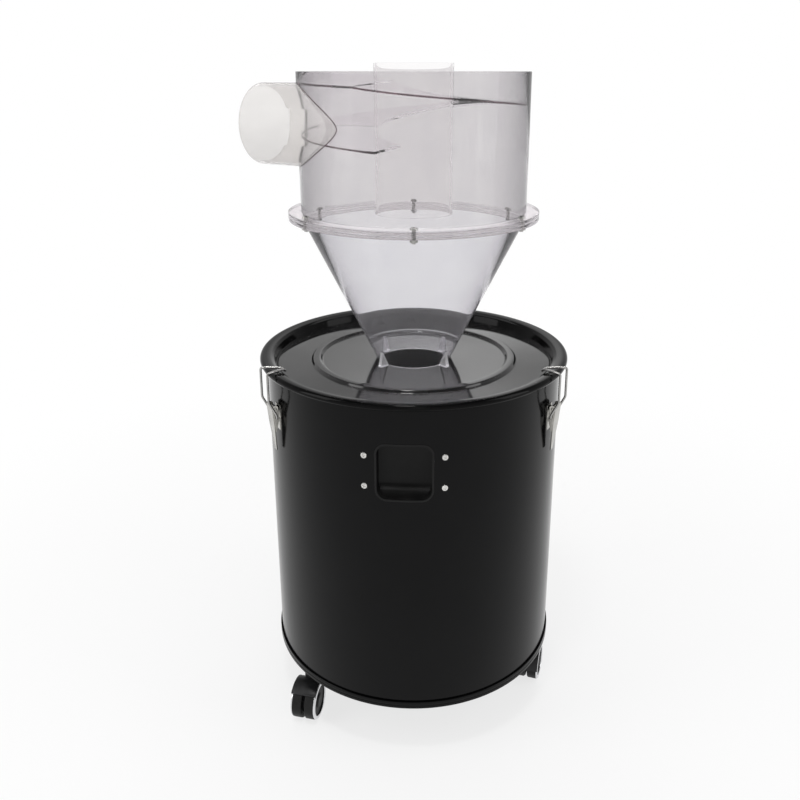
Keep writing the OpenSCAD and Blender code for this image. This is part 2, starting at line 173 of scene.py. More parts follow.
def arc(middle_r: float, middle_z: float, radius: float, turns: range) -> Outline:
    """Points on a bead's round section.

    Args:
        middle_r: how far its middle is from the axis.
        middle_z: the height of its middle.
        radius: the bead's radius.
        turns: the points' angles in degrees.

    Returns:
        The points in order.
    """
    return [(middle_r + radius * math.cos(a), middle_z + radius * math.sin(a))
            for a in (math.radians(d) for d in turns)]


class Bench:
    """Selects, shapes and finishes one piece at a time."""

    @staticmethod
    def rest() -> None:
        """Leaves edit mode and selects nothing."""
        if bpy.context.object and bpy.context.object.mode != "OBJECT":
            bpy.ops.object.mode_set(mode="OBJECT")
        bpy.ops.object.select_all(action="DESELECT")

    @staticmethod
    def added(name: str, data: bpy.types.ID) -> Piece:
        """A new object in the scene.

        Args:
            name: its name.
            data: the mesh, curve, lamp or camera that it holds.

        Returns:
            The object.
        """
        piece = bpy.data.objects.new(name, data)
        bpy.context.scene.collection.objects.link(piece)
        return piece

    @staticmethod
    def pick(*pieces: Piece) -> None:
        """Selects pieces alone.

        Args:
            pieces: the pieces, of which the first becomes active.
        """
        Bench.rest()
        for piece in pieces:
            piece.select_set(True)
        bpy.context.view_layer.objects.active = pieces[0]

    @staticmethod
    @contextmanager
    def editing(piece: Piece) -> Iterator[None]:
        """Edit mode on one piece, with all of its mesh selected.

        Args:
            piece: the piece.
        """
        Bench.pick(piece)
        bpy.ops.object.mode_set(mode="EDIT")
        bpy.ops.mesh.select_mode(type="VERT")
        bpy.ops.mesh.select_all(action="SELECT")
        yield
        bpy.ops.object.mode_set(mode="OBJECT")

    @staticmethod
    def choose(piece: Piece, test: Callable[[Vector, Vector], bool], kind: str = "FACE") -> None:
        """Selects the faces or edges of the edited piece that pass a test.

        Args:
            piece: the piece in edit mode.
            test: takes a centre, and a face's normal or an edge's direction.
            kind: FACE or EDGE.
        """
        bpy.ops.mesh.select_mode(type=kind)
        bpy.ops.mesh.select_all(action="DESELECT")
        mesh = bmesh.from_edit_mesh(piece.data)
        if kind == "FACE":
            for face in mesh.faces:
                face.select_set(test(face.calc_center_median(), face.normal))
        else:
            for edge in mesh.edges:
                middle = (edge.verts[0].co + edge.verts[1].co) / 2
                edge.select_set(test(middle, edge.verts[1].co - edge.verts[0].co))
        mesh.select_flush_mode()
        bmesh.update_edit_mesh(piece.data)

    @staticmethod
    def modify(piece: Piece, kind: str, **settings: object) -> None:
        """Adds a modifier and applies it.

        Args:
            piece: the piece that it shapes.
            kind: the modifier's type.
            settings: the modifier's own settings.
        """
        Bench.pick(piece)
        modifier = piece.modifiers.new(kind.lower(), kind)
        for key, value in settings.items():
            setattr(modifier, key, value)
        bpy.ops.object.modifier_apply(modifier=modifier.name)

    @staticmethod
    def clean(piece: Piece, distance: float = 0.01 * MM) -> None:
        """Merges doubles and turns all faces outwards.

        Args:
            piece: the piece.
            distance: how close points are merged, in metres.
        """
        with Bench.editing(piece):
            bpy.ops.mesh.remove_doubles(threshold=distance)
            bpy.ops.mesh.normals_make_consistent(inside=False)

    @staticmethod
    def settle(piece: Piece) -> None:
        """Puts a piece's place, turn and scale into its mesh."""
        Bench.pick(piece)
        bpy.ops.object.transform_apply(location=True, rotation=True, scale=True)

    @staticmethod
    def traced(points: Sequence[Vector]) -> Piece:
        """A line of edges through points, drawn by extruding one vertex.

        Args:
            points: the points in order, in metres.

        Returns:
            The new piece, with no faces yet.
        """
        Bench.rest()
        bpy.ops.mesh.primitive_plane_add(size=0.001, location=(0, 0, 0))
        piece = bpy.context.object
        with Bench.editing(piece):
            bpy.ops.mesh.merge(type="CENTER")
            bpy.ops.transform.translate(value=points[0])
            for here, there in zip(points, points[1:]):
                bpy.ops.mesh.extrude_vertices_move(TRANSFORM_OT_translate={"value": there - here})
        return piece

    @staticmethod
    def turned(outline: Outline, steps: int = 192) -> Piece:
        """Spins a closed outline of (radius, height) points about Z.

        Args:
            outline: the corners, in millimetres.
            steps: segments round the axis.

        Returns:
            The new piece.
        """
        piece = Bench.traced([Vector((r, 0, z)) * MM for r, z in outline + outline[:1]])
        with Bench.editing(piece):
            bpy.ops.mesh.remove_doubles(threshold=0.001 * MM)
            bpy.ops.mesh.select_all(action="SELECT")
            bpy.ops.mesh.spin(steps=steps, angle=2 * math.pi, center=(0, 0, 0), axis=(0, 0, 1))
        Bench.clean(piece, 0.002 * MM)
        return piece

    @staticmethod
    def block(sides: Point, middle: Point = (0, 0, 0), turn: float = 0.0) -> Piece:
        """A block to cut with.

        Args:
            sides: its length along each axis, in millimetres.
            middle: its middle, in millimetres.
            turn: degrees that it is turned about Z.

        Returns:
            The block.
        """
        Bench.rest()
        bpy.ops.mesh.primitive_cube_add(size=1, location=Vector(middle) * MM,
                                        rotation=(0, 0, math.radians(turn)))
        piece = bpy.context.object
        piece.scale = Vector(sides) * MM
        Bench.pick(piece)
        bpy.ops.object.transform_apply(location=False, rotation=False, scale=True)
        return piece

    @staticmethod
    def wire(name: str, path: Sequence[Vector], radius: float, closed: bool = False) -> Piece:
        """A round wire along a path, as a mesh.

        Args:
            name: the curve's name.
            path: its points, in metres.
            radius: the wire's radius, in millimetres.
            closed: True if its ends join.

        Returns:
            The new piece.
        """
        curve = bpy.data.curves.new(name, "CURVE")
        curve.dimensions = "3D"
        curve.bevel_depth = radius * MM
        curve.bevel_resolution = 6 if radius > 1 else 3
        curve.use_fill_caps = not closed
        line = curve.splines.new("POLY")
        line.points.add(len(path) - 1)
        for point, co in zip(line.points, path):
            point.co = (*co, 1)
        line.use_cyclic_u = closed
        Bench.pick(Bench.added(name, curve))
        bpy.ops.object.convert(target="MESH")
        piece = bpy.context.object
        Bench.clean(piece)
        return piece

    @staticmethod
    def cut(piece: Piece, cutter: Piece) -> None:
        """Cuts a piece with another, which is used up."""
        Bench.modify(piece, "BOOLEAN", object=cutter, operation="DIFFERENCE", solver="EXACT")
        bpy.data.objects.remove(cutter)

    @staticmethod
    def joined(pieces: Sequence[Piece]) -> Piece:
        """Several pieces made one object.

        Args:
            pieces: the pieces, which are used up.

        Returns:
            The one object.
        """
        Bench.pick(*pieces)
        bpy.ops.object.join()
        return bpy.context.object

    @staticmethod
    def pattern(piece: Piece) -> bpy.types.Mesh:
        """The mesh of a piece that is modelled to be copied.

        Args:
            piece: the piece, whose object is used up.

        Returns:
            Its mesh.
        """
        mesh = piece.data
        bpy.data.objects.remove(piece)
        return mesh

    @staticmethod
    def copied(pattern: bpy.types.Mesh, place: Matrix) -> Piece:
        """A new piece with its own copy of a pattern.

        Args:
            pattern: the mesh that is copied.
            place: how the copy is moved and turned.

        Returns:
            The new piece.
        """
        mesh = pattern.copy()
        mesh.transform(place)
        return Bench.added(pattern.name, mesh)

    @staticmethod
    def from_node(node: Piece, bevel: float, segments: int = 2) -> Piece:
        """A copy of a frame node with its edges rounded.

        Args:
            node: the frame's object.
            bevel: width of the rounded edges, in millimetres.
            segments: segments across an edge.

        Returns:
            The new piece.
        """
        piece = Bench.added(node.name + "_copy", node.data.copy())
        with Bench.editing(piece):
            bpy.ops.mesh.remove_doubles(threshold=0.01 * MM)
            bpy.ops.mesh.customdata_custom_splitnormals_clear()
            bpy.ops.mesh.dissolve_limited(angle_limit=math.radians(0.5))
        Bench.modify(piece, "BEVEL", width=bevel * MM, segments=segments, limit_method="ANGLE",
                     angle_limit=math.radians(30), use_clamp_overlap=True, harden_normals=False)
        return piece


class Board:
    """A node tree, with short ways to add and link nodes."""

    def __init__(self, tree: Tree) -> None:
        """Clears the tree."""
        self.tree = tree
        tree.nodes.clear()

    def add(self, kind: str, inputs: dict[str | int, object] | None = None,
            **settings: object) -> Node:
        """Adds a shader node.

        Args:
            kind: the node's type name, without the ShaderNode in front.
            inputs: socket to a value, or to another node's output that is linked to it.
            settings: the node's own settings.

        Returns:
            The node.
        """
        node = self.tree.nodes.new(f"ShaderNode{kind}")
        for key, value in settings.items():
            setattr(node, key, value)
        for key, value in (inputs or {}).items():
            if isinstance(value, bpy.types.NodeSocket):
                self.tree.links.new(value, node.inputs[key])
            else:
                node.inputs[key].default_value = value
        return node

    def group(self, tree: Tree, **inputs: object) -> bpy.types.NodeOutputs:
        """Adds a node group.

        Args:
            tree: the group.
            inputs: its input values, with underscores for the spaces in their names.

        Returns:
            The group's outputs.
        """
        node = self.add("Group", node_tree=tree)
        for key, value in inputs.items():
            node.inputs[key.replace("_", " ")].default_value = value
        return node.outputs

    def place(self) -> Socket:
        """The shaded point, in the object's own coordinates."""
        return self.add("TexCoord").outputs["Object"]

    def maths(self, operation: str, *values: object) -> Socket:
        """The result of a sum on numbers or sockets."""
        return self.add("Math", dict(enumerate(values)), operation=operation).outputs[0]

    def mixed(self, factor: Socket, a: Colour | Socket, b: Colour) -> Socket:
        """A colour between two, by a mask.

        Args:
            factor: the mask.
            a: the colour where it is 0.
            b: the colour where it is 1.

        Returns:
            The mixed colour.
        """
        first = a if isinstance(a, bpy.types.NodeSocket) else (*a, 1)
        node = self.add("Mix", {"Factor": factor, "A": first, "B": (*b, 1)}, data_type="RGBA")
        return node.outputs["Result"]

    def ranged(self, value: Socket, start: float | Socket, end: float, low: float = 0.0,
               high: float = 1.0, soft: bool = False) -> Socket:
        """A value moved from one range to another and held within it.

        Args:
            value: the value.
            start: where its own range starts.
            end: where its own range ends.
            low: what the start becomes.
            high: what the end becomes.
            soft: True for a smooth step in place of a straight ramp.

        Returns:
            The new value.
        """
        node = self.add("MapRange", {"Value": value, "From Min": start, "From Max": end,
                                     "To Min": low, "To Max": high},
                        interpolation_type="SMOOTHSTEP" if soft else "LINEAR")
        return node.outputs["Result"]

    def noise(self, where: Socket, scale: float | Socket, detail: float,
              roughness: float = 0.5) -> Socket:
        """A cloudy pattern from 0 to 1."""
        return self.add("TexNoise", {"Vector": where, "Scale": scale, "Detail": detail,
                                     "Roughness": roughness}).outputs[0]


class Effects:
    """The effects that finishes share, each a node group that is built once."""

    @staticmethod
    def blank(name: str, inputs: dict[str, float],
              outputs: Sequence[str]) -> tuple[Board, bpy.types.NodeOutputs, Node]:
        """A new group with number sockets.

        Args:
            name: the group's name.
            inputs: input names with their usual values.
            outputs: output names.

        Returns:
            The group's board, what it is given, and its output node.
        """
        tree = bpy.data.node_groups.new(name, "ShaderNodeTree")
        kind = "NodeSocketFloat"
        for key, value in inputs.items():
            socket = tree.interface.new_socket(name=key, in_out="INPUT", socket_type=kind)
            socket.default_value = value
        for key in outputs:
            tree.interface.new_socket(name=key, in_out="OUTPUT", socket_type=kind)
        board = Board(tree)
        return board, tree.nodes.new("NodeGroupInput").outputs, tree.nodes.new("NodeGroupOutput")

    @staticmethod
    @cache
    def grain() -> Tree:
        """Fine and broad unevenness of a surface: Height and Patches.

        Returns:
            The group.
        """
        board, given, out = Effects.blank(
            "surface_grain", {"Fine Scale": 900.0, "Broad Scale": 14.0}, ("Height", "Patches"))
        place = board.place()
        fine = board.noise(place, given["Fine Scale"], 2.0)
        broad = board.noise(place, given["Broad Scale"], 4.0, 0.6)
        board.tree.links.new(fine, out.inputs["Height"])
        board.tree.links.new(board.ranged(broad, 0.32, 0.68), out.inputs["Patches"])
        return board.tree

    @staticmethod
    @cache
    def wear() -> Tree:
        """Rubbed edges: Mask is 1 on worn convex edges.

        Returns:
            The group.
        """
        board, given, out = Effects.blank("edge_wear", {"Scale": 60.0, "Reach": 0.56}, ("Mask",))
        edge = board.add("NewGeometry").outputs["Pointiness"]
        sharp = board.ranged(edge, given["Reach"], 0.62)
        torn = board.ranged(board.noise(board.place(), given["Scale"], 5.0), 0.45, 0.6)
        board.tree.links.new(board.maths("MULTIPLY", sharp, torn), out.inputs["Mask"])
        return board.tree

    @staticmethod
    @cache
    def dust() -> Tree:
        """Settled dust and wipe marks: Mask is most on faces that look up.

        Returns:
            The group.
        """
        board, given, out = Effects.blank("settled_dust", {"Scale": 30.0, "Cover": 0.3}, ("Mask",))
        normal = board.add("NewGeometry").outputs["Normal"]
        up = board.add("SeparateXYZ", {0: normal}).outputs["Z"]
        facing = board.ranged(up, -0.2, 1.0, 0.15)
        cloud = board.ranged(board.noise(board.place(), given["Scale"], 6.0, 0.7), 0.4, 0.75)
        whole = board.maths("MULTIPLY", facing, cloud)
        board.tree.links.new(board.maths("MULTIPLY", whole, given["Cover"]), out.inputs["Mask"])
        return board.tree


@dataclass(frozen=True)
class Finish:
    """A finish of one material slot, with the settings of its shader."""

    name: str
    slot: Slot
    colour: Colour
    other: Colour
    rough: tuple[float, float]
    metallic: float = 0.0
    fine: float = 900.0
    broad: float = 14.0
    bump: float = 0.05
    dust: float = 0.1
    wear: float = 0.0
    specular: float = 0.5
    billow: float = 0.0
    streak: Point | None = None

    def material(self) -> bpy.types.Material:
        """The finish as a material, built the first time that it is asked for.

        Returns:
            The material.
        """
        if self.name in bpy.data.materials:
            return bpy.data.materials[self.name]
        material = bpy.data.materials.new(self.name)
        material.use_nodes = True
        board = Board(material.node_tree)
        shader = board.add("BsdfPrincipled", {"Metallic": self.metallic,
                                              "Specular IOR Level": self.specular})
        board.add("OutputMaterial", {0: self.dress(board, shader)})
        return material

    def dress(self, board: Board, shader: Node) -> Socket:
        """Links the finish's patterns to the shader.

        Args:
            board: the material's board.
            shader: its Principled shader.

        Returns:
            What the material puts out.
        """
        link = board.tree.links.new
        grain = board.group(Effects.grain(), Fine_Scale=self.fine, Broad_Scale=self.broad)
        dust = board.group(Effects.dust(), Cover=self.dust)["Mask"]
        colour = board.mixed(grain["Patches"], self.colour, self.other)
        colour = board.mixed(dust, colour, DUST_GREY)
        if self.wear:
            wear = board.group(Effects.wear(), Reach=0.6 - 0.06 * self.wear)["Mask"]
            colour = board.mixed(wear, colour, BARE_GREY)
        link(colour, shader.inputs["Base Color"])
        rough = board.ranged(grain["Patches"], 0.0, 1.0, *self.rough)
        link(board.maths("MULTIPLY_ADD", dust, DUST_ROUGHNESS, rough), shader.inputs["Roughness"])
        height = grain["Height"]
        if self.streak:
            drawn = board.add("Mapping", {"Vector": board.place(), "Scale": self.streak})
            height = board.noise(drawn.outputs[0], 1.0, 3.0)
        bump = board.add("Bump", {"Height": height, "Strength": self.bump,
                                  "Distance": GRAIN_DEPTH})
        if self.billow:
            swell = board.noise(board.place(), self.broad * 0.7, 0.0)
            broad = board.add("Bump", {"Height": swell, "Distance": self.billow})
            link(broad.outputs[0], bump.inputs["Normal"])
        link(bump.outputs[0], shader.inputs["Normal"])
        return shader.outputs[0]


@dataclass(frozen=True)
class ClearFinish(Finish):
    """A clear plastic with painted shade: its colour darkens where it is seen edge on. It also lets
    the lamps through.
    """

    ior: float = 1.17
    clarity: float = 1.0
    # Painted shade: the colour that the base colour takes where the plastic is seen edge on.
    edge: Colour = (0.9, 0.88, 0.9)
    edge_shade_power: float = 3.0
    lamp_share: float = 0.86
    sawn_r: float | None = None
    sawn: Colour = (0.45, 0.43, 0.45)

    def dress(self, board: Board, shader: Node) -> Socket:
        """Links the finish's patterns to a shader that lets light through.

        Args:
            board: the material's board.
            shader: its Principled shader.

        Returns:
            What the material puts out.
        """
        link = board.tree.links.new
        shader.inputs["Transmission Weight"].default_value = self.clarity
        shader.inputs["IOR"].default_value = self.ior
        grain = board.group(Effects.grain(), Fine_Scale=self.fine, Broad_Scale=self.broad)
        colour = board.mixed(grain["Patches"], self.colour, self.other)
        if self.sawn_r:
            level = board.add("VectorMath", {0: board.place(), 1: (1.0, 1.0, 0.0)},
                              operation="MULTIPLY").outputs["Vector"]
            out_by = board.add("VectorMath", {0: level}, operation="LENGTH").outputs["Value"]
            rim = board.ranged(out_by, (self.sawn_r - 0.6) * MM, (self.sawn_r - 0.3) * MM)
            colour = board.mixed(rim, colour, self.sawn)
        # Painted shade: the base colour is mixed towards the edge colour as the surface turns edge
        # on to the eye.
        facing = board.add("LayerWeight", {"Blend": 0.5}).outputs["Facing"]
        painted_edge_shade = board.maths("POWER", facing, self.edge_shade_power)
        link(board.mixed(painted_edge_shade, colour, self.edge), shader.inputs["Base Color"])
        rough = board.ranged(grain["Patches"], 0.0, 1.0, *self.rough)
        link(rough, shader.inputs["Roughness"])
        bump = board.add("Bump", {"Height": grain["Patches"], "Strength": self.bump,
                                  "Distance": GRAIN_DEPTH})
        link(bump.outputs[0], shader.inputs["Normal"])
        share = self.lamp_share
        through = board.add("BsdfTransparent", {"Color": (share, share, share, 1)})
        lamp_ray = board.add("LightPath").outputs["Is Shadow Ray"]
        both = board.add("MixShader", {0: lamp_ray, 1: shader.outputs[0], 2: through.outputs[0]})
        return both.outputs[0]


GLOSS_BLACK = Finish(
    "gloss_black_enamel", Slot.PAINT, (0.0012, 0.0012, 0.0014), (0.002, 0.002, 0.0022),
    (0.12, 0.18), fine=700.0, broad=9.0, bump=0.02, dust=0.004, specular=0.125, billow=0.0012)
# Painted shade: a darker, less glossy copy of the lid's enamel, so that the rolled rim reads near
# black.
RIM_SHADED_ENAMEL = Finish(
    "rim_enamel_painted_shade", Slot.PAINT, (0.0012, 0.0012, 0.0013), (0.002, 0.002, 0.002),
    (0.05, 0.08), fine=500.0, broad=11.0, bump=0.02, dust=0.004, specular=0.08, billow=0.0008)
LID_BLACK = Finish(
    "lid_black_enamel", Slot.PAINT, (0.007, 0.007, 0.007), (0.01, 0.01, 0.0105),
    (0.04, 0.07), fine=500.0, broad=11.0, bump=0.02, dust=0.02, specular=0.46, billow=0.002)
SATIN_PLASTIC = Finish(
    "satin_black_plastic", Slot.PLASTIC, (0.008, 0.008, 0.009), (0.014, 0.014, 0.015),
    (0.32, 0.45), fine=1600.0, broad=30.0, bump=0.12, dust=0.03, wear=0.3, specular=0.3)
PULL_BLACK = Finish(
    "pull_black_plastic", Slot.PLASTIC, (0.003, 0.003, 0.003), (0.006, 0.006, 0.006),
    (0.4, 0.52), fine=1400.0, broad=26.0, bump=0.06, dust=0.015, specular=0.2)
TREAD = Finish(
    "black_tread_rubber", Slot.RUBBER, (0.006, 0.006, 0.006), (0.01, 0.01, 0.01),
    (0.42, 0.58), fine=1100.0, broad=45.0, bump=0.1, dust=0.02, specular=0.2)
ZINC = Finish(
    "bright_zinc", Slot.STEEL, (0.72, 0.71, 0.69), (0.6, 0.59, 0.57),
    (0.18, 0.32), metallic=1.0, fine=1200.0, broad=60.0, bump=0.05, dust=0.05)
POLISHED = Finish(
    "polished_ring", Slot.STEEL, (0.8, 0.8, 0.81), (0.68, 0.68, 0.7),
    (0.16, 0.26), metallic=1.0, fine=1200.0, broad=70.0, bump=0.03, dust=0.04)
PRESSED_STEEL = Finish(
    "pressed_bright_steel", Slot.STEEL, (0.45, 0.44, 0.41), (0.37, 0.36, 0.335),
    (0.16, 0.28), metallic=1.0, broad=50.0, bump=0.08, dust=0.04, streak=(900.0, 900.0, 60.0))
WIRE = Finish(
    "drawn_wire", Slot.STEEL, (0.42, 0.41, 0.4), (0.3, 0.3, 0.29),
    (0.2, 0.34), metallic=1.0, fine=1200.0, broad=80.0, bump=0.04, dust=0.03)
CLEAR = ClearFinish(
    "clear_cylinder", Slot.CLEAR, (0.805, 0.79, 0.797), (0.77, 0.757, 0.767), (0.0, 0.02),
    broad=22.0, bump=0.02, clarity=0.97, edge=(0.12, 0.11, 0.13), edge_shade_power=2.2)
CLEAR_CONE = ClearFinish(
    "clear_cone", Slot.CLEAR, (0.845, 0.84, 0.855), (0.82, 0.815, 0.835), (0.0, 0.01),
    broad=22.0, bump=0.01, clarity=0.962, ior=1.12, edge=(0.45, 0.43, 0.46), edge_shade_power=2.4)
CLEAR_RING = ClearFinish(
    "clear_flange", Slot.CLEAR, (0.9, 0.88, 0.885), (0.87, 0.85, 0.86), (0.0, 0.03),
    broad=30.0, bump=0.01, clarity=0.94, ior=1.04, edge=(0.84, 0.82, 0.84), sawn_r=162.3)
CLEAR_SHEET = ClearFinish(
    "clear_sheet", Slot.CLEAR, (0.965, 0.95, 0.955), (0.95, 0.935, 0.945), (0.0, 0.03),
    broad=22.0, bump=0.01, ior=1.01, edge_shade_power=4.0)
CLEAR_INLET = ClearFinish(
    "clear_inlet_tube", Slot.CLEAR, (0.77, 0.755, 0.745), (0.74, 0.725, 0.715), (0.08, 0.18),
    broad=35.0, bump=0.03, clarity=0.86, ior=1.12, edge=(0.62, 0.6, 0.6), edge_shade_power=4.0)
CLEAR_OUTLET = ClearFinish(
    "clear_outlet_tube", Slot.CLEAR, (0.99, 0.985, 0.985), (0.985, 0.98, 0.98), (0.0, 0.02),
    broad=35.0, bump=0.0, ior=1.03, edge=(0.9, 0.88, 0.89), edge_shade_power=5.0)
# Dark purple-brown: the real cement line at the inlet, and painted shade on the roof's outer edge.
CEMENT_AND_EDGE_SHADE = ClearFinish(
    "cement_line_and_painted_edge_shade", Slot.CLEAR, (0.13, 0.07, 0.09), (0.17, 0.1, 0.12), (0.1, 0.2),
    broad=60.0, bump=0.02, edge=(0.06, 0.03, 0.04))
# Partly real reflection from its higher IOR, partly painted highlight: a whiter, cloudier body so
# that the gussets read bright.
CLEAR_GUSSET_PAINTED_HIGHLIGHT = ClearFinish(
    "clear_gusset_painted_highlight", Slot.CLEAR, (0.93, 0.92, 0.94), (0.9, 0.89, 0.91), (0.02, 0.06),
    broad=60.0, bump=0.02, clarity=0.8, ior=1.3, edge=(0.7, 0.68, 0.72))


@dataclass
class Assembly:
    """What every sub-assembly does."""

    frame: dict

    def build(self) -> None:
        """Builds and dresses the sub-assembly from the frame's nodes."""
        raise NotImplementedError

    def place(self, piece: Piece, name: str, finish: Finish, *nodes: str, body: str = HOUSING,
              angle: float = 32.0) -> None:
        """Names, smooths and dresses a piece, and puts it in the place of frame nodes.

        Args:
            piece: the shaped object.
            name: its name.
            finish: its finish.
            nodes: the frame nodes that it stands for.
            body: the body that it rides on.
            angle: edges sharper than this many degrees stay sharp.
        """
        Bench.settle(piece)
        bpy.ops.object.shade_smooth_by_angle(angle=math.radians(angle))
        piece.name = piece.data.name = name
        piece.data.materials.clear()
        piece.data.materials.append(finish.material())
        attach(piece, body)
        if nodes:
            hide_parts(*nodes)
        LOG.info("%s: %d faces on %s", piece.name, len(piece.data.polygons), body)

    def dress_node(self, node: str, finish: Finish) -> None:
        """Gives a frame node that stays its finish.

        Args:
            node: the frame node.
            finish: its finish.
        """
        mesh = self.frame["nodes"][node].data
        mesh.materials.clear()
        mesh.materials.append(finish.material())
        LOG.info("%s: frame node in %s", node, finish.name)


@dataclass(frozen=True)
class PanScrew:
    """A pan-head screw with a crossed recess."""

    head_r: float
    head_h: float
    shank_d: float
    shank: float

    def pattern(self) -> bpy.types.Mesh:
        """Models the screw once.

        Returns:
            Its mesh, facing up, with the seat of its head at the origin.
        """
        r, h, shank_r = self.head_r, self.head_h, self.shank_d / 2
        dome = [(r * 0.55 * (1 - t), h * (0.93 + 0.07 * t)) for t in (0.0, 0.5, 0.98)]
        outline = [(CORE_R, -self.shank), (shank_r, -self.shank), (shank_r, 0), (r, 0),
                   (r, h * 0.35), (r * 0.9, h * 0.7), *dome]
        piece = Bench.turned(outline, 32)
        for angle in (0.0, 90.0):
            bar = Bench.block((r * 1.05, r * 0.24, h * 0.9), (0, 0, h * 0.95), angle)
            Bench.cut(piece, bar)
        return Bench.pattern(piece)

    def placed(self, seats: Sequence[tuple[Vector, Vector, float]]) -> Piece:
        """Copies of the screw in their places, joined.

        Args:
            seats: each one's seat in metres, the way its head faces, and its turn in degrees.

        Returns:
            The set of screws.
        """
        screw = self.pattern()
        copies = []
        for seat, out, turn in seats:
            facing = UP.rotation_difference(out).to_matrix().to_4x4()
            turned = Matrix.Rotation(math.radians(turn), 4, "Z")
            copies.append(Bench.copied(screw, Matrix.Translation(seat) @ facing @ turned))
        bpy.data.meshes.remove(screw)
        return Bench.joined(copies)


@dataclass
class Drum(Assembly):
    """The wall, floor and seam ring of the drum."""

    sheet: float = 1.5
    curl: float = 2.5
    curl_inset: float = 0.5
    chime_proud: float = 2.3
    window_azimuth: float = -3.3
    window: Point = (71.0, 30.0, 75.0)
    window_corner: float = 14.5
    steps: int = 256

    def build(self) -> None:
        """Builds and dresses the drum."""
        self.wall()
        self.chime()
        self.dress_node("drum_floor", GLOSS_BLACK)

    def wall(self) -> None:
        """The rolled wall with its curl and the handle's window."""
        z0, z1, outer = extent(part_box("drum_wall"))
        r = outer - self.curl + self.curl_inset
        curl = arc(r - self.curl_inset, z1 - self.curl, self.curl, range(-60, 241, 15))
        piece = Bench.turned([(r - self.sheet, z0), (r, z0), *curl], self.steps)
        foot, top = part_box("handle_shell")
        centre = around(self.window_azimuth, r * MM, (foot.z + top.z) / 2)
        cutter = Bench.block(self.window)
        with Bench.editing(cutter):
            Bench.choose(cutter, lambda c, d: abs(d.y) > 0.9 * d.length, "EDGE")
            bpy.ops.mesh.bevel(offset=self.window_corner * MM, segments=8)
        turn = Matrix.Rotation(math.radians(self.window_azimuth), 4, "Z")
        cutter.matrix_world = Matrix.Translation(centre) @ turn
        Bench.cut(piece, cutter)
        self.place(piece, "drum_shell", GLOSS_BLACK, "drum_wall", angle=30)

    def chime(self) -> None:
        """The double seam round the foot."""
        z0, z1, proud = extent(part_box("drum_chime"))
        h, inner = z1 - z0, proud - self.chime_proud + 0.05
        outline = [(inner, z0), (proud, z0), (proud, z0 + h * 0.42), (proud - 0.5, z0 + h * 0.5),
                   (proud, z0 + h * 0.58), (proud, z0 + h), (inner, z0 + h)]
        piece = Bench.turned(softened(outline, 0.9), self.steps)
        self.place(piece, "foot_seam", GLOSS_BLACK, "drum_chime")


@dataclass
class Lid(Assembly):
    """The pressed lid with its bead, step and rolled rim."""

    sheet: float = 1.2
    bead_r: float = 140.0
    bead_h: float = 4.0
    mouth_r: float = 47.0
    shelf_w: float = 23.0
    roll_r: float = 4.6
    steps: int = 256

    def build(self) -> None:
        """Builds and dresses the lid."""
        foot, rim_z, rim_r = extent(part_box("lid"))
        pan, step_r, b = foot + self.sheet, rim_r - self.shelf_w, self.bead_r
        crest = pan + self.bead_h
        top = [(self.mouth_r, pan), (b - 15, pan), (b - 12, crest), (b - 3, crest), (b, pan),
               (step_r, pan)]
        piece = Bench.turned(softened(top, 1.2, 4)[4:-4] + self.under(top), self.steps)
        self.place(piece, "lid_pressing", LID_BLACK, "lid", angle=40)
        shelf = [(step_r, pan), (step_r + 1.5, pan), (rim_r - 19.0, rim_z - 3.6),
                 (rim_r - 14.5, rim_z - 1.5), (rim_r - 9.0, rim_z - 0.3)]
        roll = arc(rim_r - self.roll_r, rim_z - self.roll_r, self.roll_r, range(90, -151, -12))
        outline = softened(shelf, 1.0, 4)[4:-4] + roll + self.under(shelf[:-1])
        rim = Bench.turned(outline, self.steps)
        # The rim takes the painted-shade copy of the lid's enamel.
        self.place(rim, "lid_rolled_rim", RIM_SHADED_ENAMEL, angle=40)

    def under(self, top: Outline) -> Outline:
        """The sheet's lower line, back towards the axis, from its upper line."""
        return [(r, z - self.sheet) for r, z in reversed(top)]


